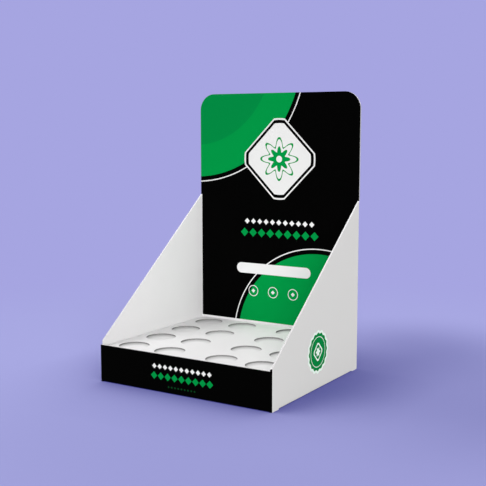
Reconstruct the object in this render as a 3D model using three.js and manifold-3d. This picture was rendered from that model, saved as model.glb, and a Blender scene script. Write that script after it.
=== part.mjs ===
// Counter display box of white corrugated board: an open tray with sloping sides and a tall header,
// and in it a raised shelf with round recesses that hold small bottles upright.
// Millimetres, +Z up, the customer stands on the -Y side, the origin is the middle of the base.
import * as THREE from "three";
import { mergeVertices } from "three/addons/utils/BufferGeometryUtils.js";
import Module from "manifold-3d";

const wasm = await Module();
wasm.setup();

// Board
const board = 1.6; // thickness of the fine-flute board that every piece is cut from
const creaseRadius = 0.5; // inside radius of a fold
const creaseRelief = 0.6; // length left unfolded between a corner and the end of a fold
const foldFacets = 6; // along the arc of a fold

// Carton, outside sizes
const width = 220;
const depth = 201;
const frontHeight = 42;
const sideFrontHeight = 44; // the side walls start a little above the front wall
const sideRearHeight = 198;
const headerTop = 323;
const headerCornerRadius = 20;
const headerCornerFacets = 16;

// Carton, the joins that hold it square
const glueFlapWidth = 24;
const glueFlapFoot = 5; // height of the glue flap's lower edge
const flapSlit = 1; // between the free edges of the front and rear bottom flaps
const sideFlapLength = 88;
const sideFlapInset = 14; // from the corner of the box to the end of a side flap's fold
const sideFlapTaper = 10; // how much narrower each end of a side flap is at its free edge
const joggleStart = 4; // from the side wall's outer face to where its bottom flap starts to climb
const joggleLength = 8; // over which it climbs onto the front and rear flaps
const flapMargin = 1; // between the climb and the front and rear flaps

// Shelf: a folded platform with a punched card on it
const shelfTop = 39.4;
const insertClearance = 0.5; // between the insert and the walls around it
const layGap = 0.1; // under a piece that lies loose on another
const platformTabWidth = 22;
const platformTabDrop = 4; // from the platform's top face to the upper edge of its corner tabs
const cardCornerRadius = 2;
const recessDiameter = 34.2;
const recessColumns = 4;
const recessRows = 4;
const recessSideMargin = 7.9; // from a side edge of the card to the nearest recesses
const recessEndMargin = 6.4; // from its front and rear edges
const recessMiddleGap = 33.2332; // between the two groups of columns
const recessFacets = 48;

// Sizes that follow from these
const foldRadius = creaseRadius + board;
const foldEnd = foldRadius + creaseRelief;
const cutMargin = 5; // how far a cutting body reaches past what it cuts
const front = -depth / 2;
const rear = depth / 2;
const left = -width / 2;
const glueFlapTop = shelfTop - 2 * board - layGap;
const wallOverlap = foldRadius + cutMargin; // how far up the wall a bottom flap's profile starts

// A rectangle as a shape.
function rectangle(x0, y0, x1, y1) {
  const shape = new THREE.Shape();
  shape.moveTo(x0, y0);
  shape.lineTo(x1, y0);
  shape.lineTo(x1, y1);
  shape.lineTo(x0, y1);
  shape.closePath();
  return shape;
}

// A polygon as a shape.
function polygon(points) {
  return new THREE.Shape(points.map(([x, y]) => new THREE.Vector2(x, y)));
}

// The section of a folded sheet. The points are the sharp corners of one face, and the board lies
// to the left of the way from the first to the last. Each corner becomes a fold, both faces of
// which are arcs about one centre.
function foldedSection(points) {
  const corners = points.map(([x, y]) => new THREE.Vector2(x, y));
  const runs = corners.slice(1).map((end, i) => end.clone().sub(corners[i]).normalize());
  const leftOf = (run) => new THREE.Vector2(-run.y, run.x);
  const across = (point, run) => point.clone().addScaledVector(leftOf(run), board);
  const folds = runs.slice(1).map((next, i) => {
    const run = runs[i];
    const turn = Math.atan2(run.cross(next), run.dot(next));
    const side = Math.sign(turn);
    const faceRadius = side > 0 ? foldRadius : creaseRadius;
    const tangent = faceRadius * Math.tan(Math.abs(turn) / 2);
    const start = corners[i + 1].clone().addScaledVector(run, -tangent);
    const centre = start.clone().addScaledVector(leftOf(run), side * faceRadius);
    const startAngle = Math.atan2(start.y - centre.y, start.x - centre.x);
    const farRadius = faceRadius - side * board;
    return { centre, faceRadius, farRadius, startAngle, endAngle: startAngle + turn, side };
  });
  const firstAcross = across(corners[0], runs[0]);
  const shape = new THREE.Shape();
  shape.moveTo(firstAcross.x, firstAcross.y);
  shape.lineTo(corners[0].x, corners[0].y);
  for (const { centre, faceRadius, startAngle, endAngle, side } of folds) {
    shape.absarc(centre.x, centre.y, faceRadius, startAngle, endAngle, side < 0);
  }
  const last = corners.at(-1);
  const lastAcross = across(last, runs.at(-1));
  shape.lineTo(last.x, last.y);
  shape.lineTo(lastAcross.x, lastAcross.y);
  for (const { centre, farRadius, startAngle, endAngle, side } of folds.toReversed()) {
    shape.absarc(centre.x, centre.y, farRadius, endAngle, startAngle, side > 0);
  }
  shape.closePath();
  return shape;
}

// A shape in the XY plane, extruded from z0 to z1. An arc gets two facets for each curve segment.
function upright(shape, z0, z1, arcFacets = foldFacets) {
  const curveSegments = arcFacets / 2;
  const geometry = new THREE.ExtrudeGeometry(shape, { depth: z1 - z0, bevelEnabled: false, curveSegments });
  return geometry.translate(0, 0, z0);
}

// A shape drawn in Y and Z, extruded from x0 to x1.
function crosswise(shape, x0, x1) {
  const axes = new THREE.Matrix4().makeBasis(
    new THREE.Vector3(0, 1, 0),
    new THREE.Vector3(0, 0, 1),
    new THREE.Vector3(1, 0, 0),
  );
  return upright(shape, x0, x1).applyMatrix4(axes);
}

// A shape drawn in X and Z, extruded from y0 to y1.
function lengthwise(shape, y0, y1, arcFacets = foldFacets) {
  return upright(shape, -y1, -y0, arcFacets).rotateX(Math.PI / 2);
}

// A box between two corners.
function block([x0, y0, z0], [x1, y1, z1]) {
  return upright(rectangle(x0, y0, x1, y1), z0, z1);
}

// The same geometry turned half round about the upright axis.
function turnedRound(geometry) {
  return geometry.clone().rotateZ(Math.PI);
}

// A closed geometry as a solid that can be joined and cut.
function solid(geometry) {
  const bare = geometry.clone();
  bare.deleteAttribute("normal");
  bare.deleteAttribute("uv");
  const merged = mergeVertices(bare, 1e-4);
  return new wasm.Manifold(
    new wasm.Mesh({
      numProp: 3,
      vertProperties: new Float32Array(merged.attributes.position.array),
      triVerts: new Uint32Array(merged.index.array),
    }),
  );
}

function joined(geometries) {
  return geometries.map(solid).reduce((whole, next) => whole.add(next));
}

function cutBy(whole, geometries) {
  return geometries.map(solid).reduce((rest, tool) => rest.subtract(tool), whole);
}

// A joined solid as a geometry with flat-shaded faces.
function geometryOf(whole) {
  const { numProp, vertProperties, triVerts } = whole.getMesh();
  const positions = new Float32Array((vertProperties.length / numProp) * 3);
  for (let i = 0; i < positions.length / 3; i += 1) {
    positions.set(vertProperties.subarray(i * numProp, i * numProp + 3), i * 3);
  }
  const indexed = new THREE.BufferGeometry()
    .setAttribute("position", new THREE.BufferAttribute(positions, 3))
    .setIndex(new THREE.BufferAttribute(new Uint32Array(triVerts), 1));
  const geometry = indexed.toNonIndexed();
  geometry.computeVertexNormals();
  return geometry;
}

// The height of the side walls' sloping edge at a distance along the box.
function slopeAt(y) {
  const rise = (sideRearHeight - sideFrontHeight) / (rear - board - front);
  return sideFrontHeight + rise * (y - front);
}

// The four walls and the glue flap, all as high as the rear of the side walls.
function wallBand() {
  const fromFront = foldedSection([
    [left, front],
    [-left, front],
    [-left, cutMargin],
  ]);
  const roundTheRear = foldedSection([
    [-left, -cutMargin],
    [-left, rear],
    [left, rear],
    [left, front + board],
    [left + glueFlapWidth, front + board],
  ]);
  return [fromFront, roundTheRear].map((section) => upright(section, 0, sideRearHeight));
}

// What is cut from the band: above the front wall, above the slopes, and round the glue flap.
function wallCuts() {
  const flapBack = front + 2 * board;
  const high = sideRearHeight + cutMargin;
  const frontCut = block(
    [left - cutMargin, front - cutMargin, frontHeight],
    [-left - foldRadius, front + board, high],
  );
  const slopeStart = front - cutMargin;
  const slopeCut = crosswise(
    polygon([
      [slopeStart, slopeAt(slopeStart)],
      [rear - board, sideRearHeight],
      [rear - board, high],
      [slopeStart, high],
    ]),
    left - cutMargin,
    -left + cutMargin,
  );
  const flapCuts = [
    [glueFlapTop, high],
    [-cutMargin, glueFlapFoot],
  ].map(([z0, z1]) =>
    block([left + board, front + board, z0], [left + glueFlapWidth + cutMargin, flapBack + cutMargin, z1]),
  );
  return [frontCut, slopeCut, ...flapCuts];
}

// The header: the rear wall goes on past the side walls, at the full width of the box.
function header() {
  const neck = -left - foldRadius;
  const shape = new THREE.Shape();
  shape.moveTo(-neck, sideRearHeight - cutMargin);
  shape.lineTo(neck, sideRearHeight - cutMargin);
  shape.lineTo(neck, sideRearHeight);
  shape.lineTo(-left, sideRearHeight);
  shape.absarc(
    -left - headerCornerRadius,
    headerTop - headerCornerRadius,
    headerCornerRadius,
    0,
    Math.PI / 2,
    false,
  );
  shape.absarc(
    left + headerCornerRadius,
    headerTop - headerCornerRadius,
    headerCornerRadius,
    Math.PI / 2,
    Math.PI,
    false,
  );
  shape.lineTo(left, sideRearHeight);
  shape.lineTo(-neck, sideRearHeight);
  shape.closePath();
  return lengthwise(shape, rear - board, rear, headerCornerFacets);
}

// The front bottom flap with its fold, and the strip of wall that the fold takes the place of.
// The rear one is the same turned round.
function frontFlap() {
  const foldHalf = -left - foldEnd;
  const freeHalf = -left - joggleStart - joggleLength - flapMargin;
  const section = foldedSection([
    [front, wallOverlap],
    [front, 0],
    [-flapSlit / 2, 0],
  ]);
  const flap = solid(crosswise(section, -foldHalf, foldHalf));
  const straight = front + foldEnd;
  const outline = polygon([
    [-foldHalf, front - cutMargin],
    [foldHalf, front - cutMargin],
    [foldHalf, straight],
    [freeHalf, straight + foldHalf - freeHalf],
    [freeHalf, cutMargin],
    [-freeHalf, cutMargin],
    [-freeHalf, straight + foldHalf - freeHalf],
    [-foldHalf, straight],
  ]);
  return {
    flap: flap.intersect(solid(upright(outline, -cutMargin, wallOverlap + cutMargin))),
    wall: block([-foldHalf, front - cutMargin, -cutMargin], [foldHalf, front + board, foldRadius]),
  };
}

// The left bottom flap: its fold is level with the others, and it climbs one board to lie on the
// front and rear flaps, where it is glued. The right one is the same turned round.
function leftFlap() {
  const foldFront = front + sideFlapInset;
  const freeFront = foldFront + sideFlapTaper;
  const section = foldedSection([
    [left, wallOverlap],
    [left, 0],
    [left + joggleStart, 0],
    [left + joggleStart + joggleLength, board],
    [left + sideFlapLength, board],
  ]);
  const flap = solid(lengthwise(section, foldFront, -foldFront));
  const straight = left + foldEnd;
  const free = left + sideFlapLength + cutMargin;
  const outline = polygon([
    [left - cutMargin, foldFront],
    [straight, foldFront],
    [free, freeFront],
    [free, -freeFront],
    [straight, -foldFront],
    [left - cutMargin, -foldFront],
  ]);
  return {
    flap: flap.intersect(solid(upright(outline, -cutMargin, wallOverlap + cutMargin))),
    wall: block([left - cutMargin, foldFront, -cutMargin], [left + board, -foldFront, foldRadius]),
  };
}

function cartonSolid() {
  const walls = cutBy(joined(wallBand()), wallCuts()).add(solid(header()));
  const frontOne = frontFlap();
  const leftOne = leftFlap();
  const seats = [frontOne.wall, leftOne.wall].flatMap((wall) => [wall, turnedRound(wall)]);
  const flaps = [frontOne.flap, leftOne.flap].flatMap((flap) => [flap, flap.rotate([0, 0, 180])]);
  return flaps.reduce((whole, flap) => whole.add(flap), cutBy(walls, seats));
}

// The platform inside the tray, centred on its own origin: a top with four skirts. The side skirts
// end in tabs, glued behind the front and rear skirts.
function platformSolid(size, height) {
  const halfX = size.x / 2;
  const halfY = size.y / 2;
  const skirts = (half) =>
    foldedSection([
      [half, 0],
      [half, height],
      [-half, height],
      [-half, 0],
    ]);
  const sideSkirts = lengthwise(skirts(halfX), -halfY + foldEnd, halfY - foldEnd);
  const endSkirts = crosswise(skirts(halfY), -halfX + foldEnd, halfX - foldEnd);
  const tabbed = foldedSection([
    [-halfX + platformTabWidth, halfY - board],
    [-halfX, halfY - board],
    [-halfX, -halfY + board],
    [-halfX + platformTabWidth, -halfY + board],
  ]);
  const tabs = upright(tabbed, 0, height - platformTabDrop);
  return joined([sideSkirts, endSkirts, tabs, turnedRound(tabs)]);
}

// Evenly spaced numbers from one end to the other.
function spread(first, last, count) {
  return Array.from({ length: count }, (_, i) => first + ((last - first) * i) / (count - 1));
}

// The places of the recesses across the card, in two groups beside the centre line.
function columnPlaces(cardWidth) {
  const inner = (recessMiddleGap + recessDiameter) / 2;
  const outer = cardWidth / 2 - recessSideMargin - recessDiameter / 2;
  return spread(inner, outer, recessColumns / 2).flatMap((x) => [-x, x]);
}

function rowPlaces(cardDepth) {
  const outer = cardDepth / 2 - recessEndMargin - recessDiameter / 2;
  return spread(-outer, outer, recessRows);
}

// The punched card, centred on its own origin.
function cardGeometry(size) {
  const x = size.x / 2 - cardCornerRadius;
  const y = size.y / 2 - cardCornerRadius;
  const shape = new THREE.Shape();
  const quarter = Math.PI / 2;
  [
    [x, y],
    [-x, y],
    [-x, -y],
    [x, -y],
  ].forEach(([cx, cy], i) => shape.absarc(cx, cy, cardCornerRadius, i * quarter, (i + 1) * quarter, false));
  for (const cx of columnPlaces(size.x)) {
    for (const cy of rowPlaces(size.y)) {
      const hole = new THREE.Path();
      hole.absarc(cx, cy, recessDiameter / 2, 0, 2 * Math.PI, true);
      shape.holes.push(hole);
    }
  }
  return upright(shape, 0, board, recessFacets);
}

// A named piece of coated board.
function piece(name, geometry, color, roughness) {
  const material = new THREE.MeshStandardMaterial({ color, roughness, metalness: 0 });
  const mesh = new THREE.Mesh(geometry, material);
  mesh.name = name;
  return mesh;
}

const innerWidth = width - 2 * board;
const platformFront = front + 2 * board + insertClearance; // clear of the glue flap
const platformRear = rear - board - insertClearance;
const platformFoot = 2 * board + layGap;
const platformTop = shelfTop - board - layGap;
const platformSize = new THREE.Vector2(innerWidth - 2 * insertClearance, platformRear - platformFront);
const cardSize = new THREE.Vector2(platformSize.x, depth - 2 * board - 2 * insertClearance);

const carton = piece("display_carton", geometryOf(cartonSolid()), 0xe9e9e7, 0.45);
const platform = piece(
  "shelf_platform",
  geometryOf(platformSolid(platformSize, platformTop - platformFoot)),
  0xe6e5e2,
  0.6,
);
platform.position.set(0, (platformFront + platformRear) / 2, platformFoot);
const card = piece("recess_card", geometryOf(solid(cardGeometry(cardSize))), 0xececea, 0.5);
card.position.set(0, 0, shelfTop - board);

const insert = new THREE.Group();
insert.add(platform, card);

const counterDisplay = new THREE.Group();
counterDisplay.add(carton, insert);

export default counterDisplay;
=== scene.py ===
"""Looks of the counter display box: coated white board with a black, green and white print."""

import math

import bpy
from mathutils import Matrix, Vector


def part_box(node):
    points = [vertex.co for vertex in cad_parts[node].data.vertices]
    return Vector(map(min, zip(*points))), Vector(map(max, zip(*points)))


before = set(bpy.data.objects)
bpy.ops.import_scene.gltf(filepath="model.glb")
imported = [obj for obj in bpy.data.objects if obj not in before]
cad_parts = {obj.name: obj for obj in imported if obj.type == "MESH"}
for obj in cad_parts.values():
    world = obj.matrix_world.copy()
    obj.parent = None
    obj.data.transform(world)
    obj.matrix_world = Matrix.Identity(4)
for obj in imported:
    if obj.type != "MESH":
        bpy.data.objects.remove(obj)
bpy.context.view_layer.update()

MM = 0.001

# Sizes from the frame, in metres
LOW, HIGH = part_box("display_carton")
CARD_LOW, CARD_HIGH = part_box("recess_card")
BOARD = CARD_HIGH.z - CARD_LOW.z

# Sizes of the model that its boxes don't give, in metres
FRONT_HEIGHT = 0.042
SIDE_REAR_HEIGHT = 0.198
RECESS_RADIUS = 0.0171
RECESS_SIDE_MARGIN = 0.0079
RECESS_END_MARGIN = 0.0064
RECESS_MIDDLE_GAP = 0.0332
RECESS_ROWS = 4

# Looks of the board, in metres
PRINT_WRAP = 0.0013  # how far the print runs round a fold
PAINTED_LIGHT_FROM = 0.05  # the height from which painted light makes the walls' insides brighter
RECESS_LIT_SHIFT = (0.0048, -0.0058)  # the lit part of a recess's floor lies towards the right front
RECESS_SHADE_BLUR = 0.009
RECESS_SHADE = 0.32  # how much darker the rest of that floor is
FLUTE_PITCH = 0.0033

# A cut edge across the board, as shares of its thickness
WAVE_REACH = 0.33  # how far the fluted medium swings from the middle
MEDIUM_HALF = 0.13
LINER_START = 0.35  # from the middle to a liner
HOLLOW_DEPTH = 0.3  # in millimetres
HOLLOW_SHADE = 0.3

# Places of the print, in millimetres from the middle of the base: across, and up
UPPER_DISC = (-118, 372)
LOWER_DISC = (58, 20)
BADGE = (4, 244)
RING_PLACES = [(across, 80) for across in (-32, -4, 24)]
SEAL = (-0.9, 41.3)  # along the right side wall, and up
ARC_WIDTH = 1.3

# The photograph's view
CAMERA_PLACE = Vector((0.5507, -0.8651, 0.2807))
CAMERA_AZIMUTH = math.radians(31.81)
CAMERA_ELEVATION = math.radians(7.13)
CAMERA_LENS = 67.85

# The floor, in metres
FLOOR_RADIUS = 30
FADE_START = 0.3
FADE_LENGTH = 0.45
CONTACT_REACH = 0.12  # how far from the box the floor gets its painted shade
# Painted soft shadows on the floor: centre across, centre along, reach and amount
FLOOR_PAINTED_SHADOWS = (
    (0.31, 0.05, 0.28, 0.28),
    (0.14, 0.25, 0.22, 0.28),
    (0.28, -0.25, 0.60, 0.15),
    (0.17, 0.00, 0.12, 0.12),
)


def srgb(*levels):
    """A colour written as screen levels from 0 to 255, as the linear values that nodes take."""
    shares = [level / 255 for level in levels]
    return tuple(s / 12.92 if s <= 0.04045 else ((s + 0.055) / 1.055) ** 2.4 for s in shares) + (1.0,)


BACKGROUND = srgb(166, 165, 225)
FLOOR_DIFFUSE = (0.335, 0.336, 0.51, 1.0)
FLOOR_GLOW = (0.003, 0.005, 0.168, 1.0)
FLOOR_BOUNCE = (0.4, 0.4, 0.4, 1.0)  # the floor as the box sees it
INNER_SHADED_WHITE = (0.78, 0.765, 0.775, 1.0)  # painted shade: a darker copy of the inner white, low in the tray
INNER_LIT_WHITE = (0.95, 0.94, 0.95, 1.0)  # painted light: a lighter copy of the inner white, high on the walls
# Painted shade: the outside of the carton is a darker copy of its white
OUTER_SHADED_WHITE = (0.70, 0.695, 0.695, 1.0)
CARD_WHITE = (0.80, 0.785, 0.795, 1.0)
# Painted shade on the walls of the card's round cut-outs, and the colour of the platform's specks
CUT_SHADE_AND_SPECK_GREY = (0.33, 0.33, 0.325, 1.0)
PRINT_BLACK = (0.0004, 0.0004, 0.0004, 1.0)
PRINT_GREEN = (0.0, 0.27, 0.052, 1.0)
PRINT_DEEP_GREEN = (0.0, 0.225, 0.048, 1.0)
PRINT_WHITE = (0.75, 0.75, 0.75, 1.0)
PRINT_DIM = (0.003, 0.045, 0.012, 1.0)
SEAL_RING = (0.80, 0.93, 0.86, 1.0)
NO_LIGHT = (0.0, 0.0, 0.0, 1.0)


def feed(tree, target, value):
    """Gives an input its value: a field or a socket is linked, and a number or a tuple is set."""
    source = value.socket if isinstance(value, Field) else value
    if isinstance(source, bpy.types.NodeSocket):
        tree.links.new(source, target)
    else:
        target.default_value = source


class Field:
    """A number that varies over a surface: an output of a node tree that can be used in formulas."""

    def __init__(self, tree, socket):
        self.tree = tree
        self.socket = socket

    def math(self, operation, *others):
        node = self.tree.nodes.new("ShaderNodeMath")
        node.operation = operation
        for target, value in zip(node.inputs, (self, *others)):
            feed(self.tree, target, value)
        return Field(self.tree, node.outputs[0])

    def __add__(self, other):
        return self.math("ADD", other)

    def __sub__(self, other):
        return self.math("SUBTRACT", other)

    def __mul__(self, other):
        return self.math("MULTIPLY", other)

    def __truediv__(self, other):
        return self.math("DIVIDE", other)

    def __abs__(self):
        return self.math("ABSOLUTE")

    def least(self, other):
        return self.math("MINIMUM", other)

    def most(self, other):
        return self.math("MAXIMUM", other)

    def above(self, level):
        return self.math("GREATER_THAN", level)

    def below(self, level):
        return self.math("LESS_THAN", level)

    def inverse(self):
        return self * -1 + 1

    def clamped(self):
        return self.most(0).least(1)

    def smooth(self):
        """The same way from 0 to 1, with a soft start and end."""
        return self * self * (self * -2 + 3)

    def in_cell(self, pitch):
        """The distance from the middle of the cell, where cells of this pitch start at 0."""
        return self.math("FLOORED_MODULO", pitch) - pitch / 2

    def inside(self, softness=0.12):
        """1 where the number is positive and 0 where it isn't, with an edge this wide."""
        node = self.tree.nodes.new("ShaderNodeMath")
        node.operation = "MULTIPLY_ADD"
        node.use_clamp = True
        feed(self.tree, node.inputs[0], self)
        feed(self.tree, node.inputs[1], 1 / softness)
        feed(self.tree, node.inputs[2], 0.5)
        return Field(self.tree, node.outputs[0])


# Shapes: each is a field that is positive inside the shape, and about the distance to its outline


def length(a, b):
    return (a * a + b * b).math("SQRT")


def disc(u, v, centre, radius):
    return length(u - centre[0], v - centre[1]) * -1 + radius


def ring(u, v, centre, radius, width):
    return abs(disc(u, v, centre, radius)) * -1 + width / 2


def diamond(u, v, centre, reach, rounding=0.0):
    """A square on its corner, reach from the middle to a corner, with its corners rounded."""
    across = abs(u - centre[0])
    up = abs(v - centre[1])
    flat = (across + up) * -1 + reach
    return flat.least(disc(u, v, centre, reach - rounding)) if rounding else flat


def capsule(u, v, centre, half_length, radius):
    over = (abs(u - centre[0]) - (half_length - radius)).most(0)
    return length(over, v - centre[1]) * -1 + radius


def rosette(u, v, centre, radius, petals, depth):
    """A round flower: its radius rises and falls by depth, once for each petal."""
    du = u - centre[0]
    dv = v - centre[1]
    wave = (dv.math("ARCTAN2", du) * petals).math("COSINE") * depth
    return wave - length(du, dv) + radius


def bead_row(u, v, centre, count, pitch, reach):
    """A row of small lozenges with its middle at centre."""
    half = pitch * count / 2
    cell = abs((u - (centre[0] - half)).in_cell(pitch))
    beads = (cell + abs(v - centre[1])) * -1 + reach
    return beads.least(abs(u - centre[0]) * -1 + half)


def parts(tree, vector):
    """The three parts of a vector, as fields."""
    node = tree.nodes.new("ShaderNodeSeparateXYZ")
    feed(tree, node.inputs[0], vector)
    return [Field(tree, part) for part in node.outputs]


def noise(tree, vector, scale, detail):
    node = tree.nodes.new("ShaderNodeTexNoise")
    feed(tree, node.inputs["Vector"], vector)
    feed(tree, node.inputs["Scale"], scale)
    feed(tree, node.inputs["Detail"], detail)
    feed(tree, node.inputs["Roughness"], 0.5)
    return Field(tree, node.outputs["Fac"])


def blend_colour(tree, mask, below, above):
    """The colour below, with the one above it where the mask is 1. A colour is a tuple or a socket."""
    node = tree.nodes.new("ShaderNodeMix")
    node.data_type = "RGBA"
    feed(tree, node.inputs["Factor"], mask)
    for name, colour in (("A", below), ("B", above)):
        target = next(s for s in node.inputs if s.name == name and s.type == "RGBA")
        feed(tree, target, colour)
    return next(s for s in node.outputs if s.type == "RGBA")


def scaled_colour(tree, colour, factor):
    """A colour darkened or lightened by a field."""
    node = tree.nodes.new("ShaderNodeVectorMath")
    node.operation = "SCALE"
    feed(tree, node.inputs[0], colour)
    feed(tree, node.inputs["Scale"], factor)
    return node.outputs[0]


def printed(tree, ground, layers):
    """The ground colour with each layer printed on it in turn. A layer is a shape and its ink."""
    for shape, ink in layers:
        ground = blend_colour(tree, shape.inside(), ground, ink)
    return ground


class BoardMaterial:
    """A coated board's shader, with the fields of place and direction that its layers are drawn with."""

    def __init__(self, name, roughness, specular):
        self.material = bpy.data.materials.new(name)
        self.material.use_nodes = True
        self.tree = self.material.node_tree
        self.shader = self.tree.nodes["Principled BSDF"]
        self.shader.inputs["Specular IOR Level"].default_value = specular
        place = self.tree.nodes.new("ShaderNodeTexCoord")
        self.place = place.outputs["Object"]
        self.x, self.y, self.z = parts(self.tree, self.place)
        self.nx, self.ny, self.nz = parts(self.tree, place.outputs["Normal"])
        self.grain = noise(self.tree, self.place, scale=900, detail=3)
        self.cloud = noise(self.tree, self.place, scale=22, detail=2)
        feed(self.tree, self.shader.inputs["Roughness"], self.varied(roughness, 0.08, 0.06))

    def varied(self, mean, by_grain, by_cloud):
        """A value that varies about its mean with the paper's fine grain and its wide clouds."""
        return self.grain * by_grain + self.cloud * by_cloud + (mean - (by_grain + by_cloud) / 2)

    def cut_edge(self, area, depth, along):
        """0 in the hollows between the flutes of a cut edge, 1 on its paper and outside the area.
        depth runs from 0 to 1 through the board, and along is the distance across the flutes."""
        wave = (along * (2 * math.pi / FLUTE_PITCH)).math("SINE") * WAVE_REACH + 0.5
        medium = (abs(depth - wave) * -1 + MEDIUM_HALF).inside(0.08)
        liner = (abs(depth - 0.5) - LINER_START).inside(0.06)
        return (area * medium.most(liner).inverse()).inverse()

    def finish(self, colour, edge=None):
        """Adds the paper's tone and relief and the hollows of the cut edges, with painted shade in the
        hollows, and joins up the shader.
        """
        tone = self.varied(1, 0.03, 0.022)
        height = self.grain * 0.006
        if edge is not None:
            hollow = edge.inverse()
            tone = tone * (hollow * -HOLLOW_SHADE + 1)
            height = height - hollow * HOLLOW_DEPTH
        feed(self.tree, self.shader.inputs["Base Color"], scaled_colour(self.tree, colour, tone))
        bump = self.tree.nodes.new("ShaderNodeBump")
        feed(self.tree, bump.inputs["Distance"], MM)
        feed(self.tree, bump.inputs["Strength"], 0.6)
        feed(self.tree, bump.inputs["Height"], height)
        feed(self.tree, self.shader.inputs["Normal"], bump.outputs["Normal"])
        return self.material


def header_print(tree, x, z):
    """The print of the header and the rear wall's inside. x and z are millimetres."""
    layers = [
        (disc(x, z, UPPER_DISC, 152), PRINT_GREEN),
        (disc(x, z, UPPER_DISC, 112), PRINT_DEEP_GREEN),
        (ring(x, z, UPPER_DISC, 158, ARC_WIDTH), PRINT_WHITE),
        (disc(x, z, LOWER_DISC, 112), PRINT_GREEN),
        (ring(x, z, LOWER_DISC, 118, ARC_WIDTH), PRINT_WHITE),
        (diamond(x, z, BADGE, 56, rounding=7), PRINT_WHITE),
        (diamond(x, z, BADGE, 53.5, rounding=6.5), PRINT_BLACK),
        (diamond(x, z, BADGE, 49, rounding=6), PRINT_WHITE),
        (rosette(x, z, BADGE, 21, petals=8, depth=5.5), PRINT_GREEN),
        (rosette(x, z, BADGE, 18.6, petals=8, depth=5.2), PRINT_WHITE),
        (rosette(x, z, BADGE, 12, petals=8, depth=3.4), PRINT_GREEN),
        (disc(x, z, BADGE, 4), PRINT_WHITE),
        (bead_row(x, z, (4, 167), count=11, pitch=9, reach=3.5), PRINT_WHITE),
        (bead_row(x, z, (4, 153), count=9, pitch=12.2, reach=5.4), PRINT_GREEN),
        (capsule(x, z, (-4, 108), half_length=52, radius=6.5), PRINT_WHITE),
        *[(ring(x, z, place, 6.5, width=0.9), PRINT_WHITE) for place in RING_PLACES],
        *[(diamond(x, z, place, 2.6), PRINT_WHITE) for place in RING_PLACES],
    ]
    return printed(tree, PRINT_BLACK, layers)


def front_print(tree, x, z):
    """The print of the front wall: three rows of lozenges on black. x and z are millimetres."""
    layers = [
        (bead_row(x, z, (0, 28.2), count=11, pitch=7.1, reach=2.9), PRINT_WHITE),
        (bead_row(x, z, (0, 17.8), count=9, pitch=9.0, reach=4.2), PRINT_GREEN),
        (bead_row(x, z, (0, 7.3), count=9, pitch=4.2, reach=1.3), PRINT_DIM),
    ]
    return printed(tree, PRINT_BLACK, layers)


def seal_print(tree, y, z):
    """The scalloped seal on the right side wall. y and z are millimetres."""
    layers = [
        (rosette(y, z, SEAL, 23.4, petals=16, depth=0.7), SEAL_RING),
        (rosette(y, z, SEAL, 20.6, petals=16, depth=0.7), PRINT_DEEP_GREEN),
        (ring(y, z, SEAL, 16.5, width=0.7), SEAL_RING),
        (diamond(y, z, SEAL, 11.5, rounding=1.5), SEAL_RING),
        (diamond(y, z, SEAL, 9.2, rounding=1.2), PRINT_DEEP_GREEN),
        (rosette(y, z, SEAL, 4.2, petals=6, depth=1.1), SEAL_RING),
    ]
    return printed(tree, OUTER_SHADED_WHITE, layers)


def bare_carton(board):
    """The white of the unprinted carton: a darker copy on the outside for painted shade, and inside brighter
    towards the top for painted light.
    """
    sideways = board.x * board.nx + board.y * board.ny
    outward = (sideways - board.z * board.nz * 9).above(HIGH.y / 2)  # an upward face counts as inside, so it gets the inside's painted light
    # Painted light: the inside grows brighter with height
    painted_light_rise = ((board.z - PAINTED_LIGHT_FROM) / (SIDE_REAR_HEIGHT - PAINTED_LIGHT_FROM)).clamped()
    inner = blend_colour(board.tree, painted_light_rise, INNER_SHADED_WHITE, INNER_LIT_WHITE)
    return blend_colour(board.tree, outward, inner, OUTER_SHADED_WHITE)


def carton_colour(board):
    """The carton's white with the seal, the front wall and the header printed over it."""
    tree = board.tree
    x, y, z = (part * (1 / MM) for part in (board.x, board.y, board.z))
    on_right = board.nx.above(0.9) * board.x.above(HIGH.x - BOARD / 2)
    round_folds = board.nz.below(0.5) * board.nz.above(-0.95) * board.nx.above(-0.9)
    on_front = board.y.below(LOW.y + PRINT_WRAP) * round_folds
    faces_front = board.ny.below(-0.5)
    on_header = board.y.above(HIGH.y - BOARD * 1.2) * faces_front * board.z.above(FRONT_HEIGHT)
    colour = blend_colour(tree, on_right, bare_carton(board), seal_print(tree, y, z))
    colour = blend_colour(tree, on_front, colour, front_print(tree, x, z))
    return blend_colour(tree, on_header, colour, header_print(tree, x, z))


def carton_edges(board):
    """The cut edges of the front wall, of the header and of the side walls' slopes."""
    sideways = abs(board.ny).below(0.5)
    on_top = board.nz.above(0.3) * board.z.above(FRONT_HEIGHT - BOARD)
    front = board.y.below(LOW.y + BOARD) * sideways * on_top.most(board.nx.below(-0.9))
    rear = board.y.above(HIGH.y - BOARD) * sideways * board.z.above(SIDE_REAR_HEIGHT)
    between = board.y.above(LOW.y + BOARD) * board.y.below(HIGH.y - BOARD)
    side = abs(board.x).above(HIGH.x - BOARD * 1.1) * on_top * between
    return (
        board.cut_edge(front, (board.y - LOW.y) / BOARD, board.x)
        * board.cut_edge(rear, (board.y * -1 + HIGH.y) / BOARD, board.x)
        * board.cut_edge(side, (abs(board.x) * -1 + HIGH.x) / BOARD, board.y)
    )


def printed_board():
    """The carton's board: white, with the front wall, the header's face and one seal printed."""
    board = BoardMaterial("printed_board", roughness=0.6, specular=0.015)
    return board.finish(carton_colour(board), carton_edges(board))


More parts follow.
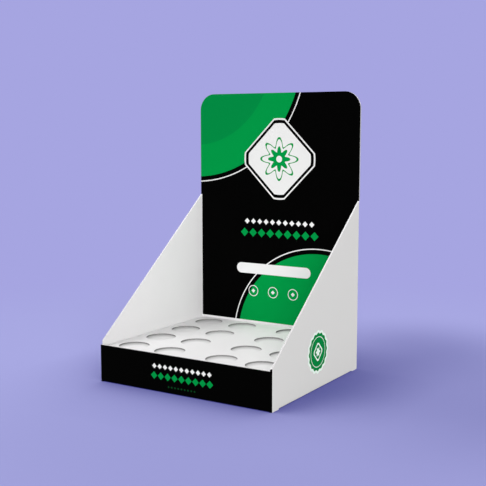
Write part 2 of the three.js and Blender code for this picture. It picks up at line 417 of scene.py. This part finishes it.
def card_board():
    """The punched card's board: white on both faces, with the flutes showing in the round cut-outs, whose
    walls are painted a shaded grey.
    """
    board = BoardMaterial("card_board", roughness=0.5, specular=0.2)
    cut = abs(board.nz).below(0.5)
    edge = board.cut_edge(cut, (board.z - CARD_LOW.z) / BOARD, board.y)
    return board.finish(blend_colour(board.tree, cut, CARD_WHITE, CUT_SHADE_AND_SPECK_GREY), edge)


def recess_floor(board):
    """1 on the lit part of each recess's floor, and 0 in the soft shade by its rear left wall."""
    inner = RECESS_MIDDLE_GAP / 2 + RECESS_RADIUS
    outer = CARD_HIGH.x - RECESS_SIDE_MARGIN - RECESS_RADIUS
    rear = CARD_HIGH.y - RECESS_END_MARGIN - RECESS_RADIUS
    column_pitch = outer - inner
    row_pitch = rear * 2 / (RECESS_ROWS - 1)
    across = (abs(board.x) - (inner - column_pitch / 2)).in_cell(column_pitch)
    along = (board.y + (rear + row_pitch / 2)).in_cell(row_pitch)
    lit = disc(across * board.x.math("SIGN"), along, RECESS_LIT_SHIFT, RECESS_RADIUS)
    return lit.inside(RECESS_SHADE_BLUR)


def platform_board():
    """The platform's board: plain white, with the shade of the card's rims on the recesses' floors."""
    board = BoardMaterial("platform_board", roughness=0.55, specular=0.2)
    speck = noise(board.tree, board.place, scale=300, detail=4).above(0.66)
    colour = blend_colour(board.tree, speck * 0.05, CARD_WHITE, CUT_SHADE_AND_SPECK_GREY)
    lit = recess_floor(board).most(board.nz.below(0.5))
    light = lit * RECESS_SHADE + (1 - RECESS_SHADE)
    return board.finish(scaled_colour(board.tree, colour, light))


def dress():
    """Gives each node of the model its finish."""
    finishes = {
        "display_carton": (printed_board(), "printed_board"),
        "recess_card": (card_board(), "coated_board"),
        "shelf_platform": (platform_board(), "plain_board"),
    }
    for name, (material, slot) in finishes.items():
        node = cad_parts[name]
        node.data.materials.clear()
        node.data.materials.append(material)


def place_camera():
    data = bpy.data.cameras.new("camera")
    data.lens = CAMERA_LENS
    data.sensor_width = 36
    data.clip_end = 100
    camera = bpy.data.objects.new("camera", data)
    towards = Vector((
        -math.sin(CAMERA_AZIMUTH) * math.cos(CAMERA_ELEVATION),
        math.cos(CAMERA_AZIMUTH) * math.cos(CAMERA_ELEVATION),
        -math.sin(CAMERA_ELEVATION),
    ))
    camera.location = CAMERA_PLACE
    camera.rotation_mode = "QUATERNION"
    camera.rotation_quaternion = towards.to_track_quat("-Z", "Y")
    bpy.context.scene.collection.objects.link(camera)
    bpy.context.scene.camera = camera


def plain_shader(tree, kind, colour):
    """A shader of one kind with this colour, which is a tuple or a socket."""
    node = tree.nodes.new(kind)
    feed(tree, node.inputs["Color"], colour)
    return node.outputs[0]


def mixed_shader(tree, mask, below, above):
    """The shader below, with the one above it where the mask is 1."""
    node = tree.nodes.new("ShaderNodeMixShader")
    for target, value in zip(node.inputs, (mask, below, above)):
        feed(tree, target, value)
    return node.outputs[0]


def seen_by_eye(tree):
    """1 for what the camera sees directly."""
    path = tree.nodes.new("ShaderNodeLightPath")
    return Field(tree, path.outputs["Is Camera Ray"])


def painted_shadow(px, py, centre_x, centre_y, reach, amount):
    """A soft, wide painted shadow on the floor, to the right of the box."""
    near = (length(px - centre_x, py - centre_y) * (-1 / reach) + 1).clamped()
    return near.smooth() * -amount + 1


def near_floor(tree, px, py):
    """The floor round the box, with painted shade close to it and the painted shadows to its right."""
    # Painted shade: ambient occlusion darkens the floor's colour close to the box
    contact_shade = tree.nodes.new("ShaderNodeAmbientOcclusion")
    contact_shade.inputs["Distance"].default_value = CONTACT_REACH
    light = Field(tree, contact_shade.outputs["AO"])
    # Painted shadows of the box, darkening the floor to its right
    for shadow_patch in FLOOR_PAINTED_SHADOWS:
        light = light * painted_shadow(px, py, *shadow_patch)
    tint = blend_colour(tree, light, NO_LIGHT, FLOOR_DIFFUSE)
    both = tree.nodes.new("ShaderNodeAddShader")
    feed(tree, both.inputs[0], plain_shader(tree, "ShaderNodeBsdfDiffuse", tint))
    feed(tree, both.inputs[1], plain_shader(tree, "ShaderNodeEmission", FLOOR_GLOW))
    return both.outputs[0]


def floor_material():
    """A floor that fades into the backdrop for the camera, and is plain pale grey for all other light."""
    material = bpy.data.materials.new("floor")
    material.use_nodes = True
    tree = material.node_tree
    tree.nodes.clear()
    place = tree.nodes.new("ShaderNodeTexCoord")
    px, py, _ = parts(tree, place.outputs["Object"])
    far = ((length(px, py) - FADE_START) / FADE_LENGTH).clamped().smooth()
    backdrop = plain_shader(tree, "ShaderNodeEmission", BACKGROUND)
    seen = mixed_shader(tree, far, near_floor(tree, px, py), backdrop)
    bounce = plain_shader(tree, "ShaderNodeBsdfDiffuse", FLOOR_BOUNCE)
    out = tree.nodes.new("ShaderNodeOutputMaterial")
    feed(tree, out.inputs["Surface"], mixed_shader(tree, seen_by_eye(tree), bounce, seen))
    return material


def floor():
    """A wide floor that takes the box's shadow."""
    bpy.ops.mesh.primitive_circle_add(vertices=96, radius=FLOOR_RADIUS, fill_type="NGON")
    ground = bpy.context.object
    ground.name = "floor"
    ground.data.materials.append(floor_material())


def sky(strength):
    """Even light from all round, behind which the camera sees the backdrop."""
    world = bpy.data.worlds.new("studio")
    world.use_nodes = True
    tree = world.node_tree
    tree.nodes.clear()
    soft = plain_shader(tree, "ShaderNodeBackground", (strength, strength, strength, 1.0))
    shown = plain_shader(tree, "ShaderNodeBackground", BACKGROUND)
    out = tree.nodes.new("ShaderNodeOutputWorld")
    feed(tree, out.inputs["Surface"], mixed_shader(tree, seen_by_eye(tree), soft, shown))
    bpy.context.scene.world = world


def lamp(name, azimuth, elevation, strength, softness):
    """A far lamp. Azimuth 0 shines from the front and 90 from the right. Softness is its width in degrees."""
    data = bpy.data.lights.new(name, "SUN")
    data.energy = strength
    data.angle = math.radians(softness)
    light = bpy.data.objects.new(name, data)
    a = math.radians(azimuth)
    e = math.radians(elevation)
    source = Vector((math.sin(a) * math.cos(e), -math.cos(a) * math.cos(e), math.sin(e)))
    light.rotation_mode = "QUATERNION"
    light.rotation_quaternion = (-source).to_track_quat("-Z", "Y")
    bpy.context.scene.collection.objects.link(light)


dress()
place_camera()
floor()
sky(strength=0.47)
lamp("key", azimuth=-60, elevation=56, strength=1.65, softness=42)
lamp("fill", azimuth=42, elevation=18, strength=2.2, softness=40)
lamp("back", azimuth=170, elevation=12, strength=0.6, softness=60)
bpy.context.scene.view_settings.view_transform = "Standard"
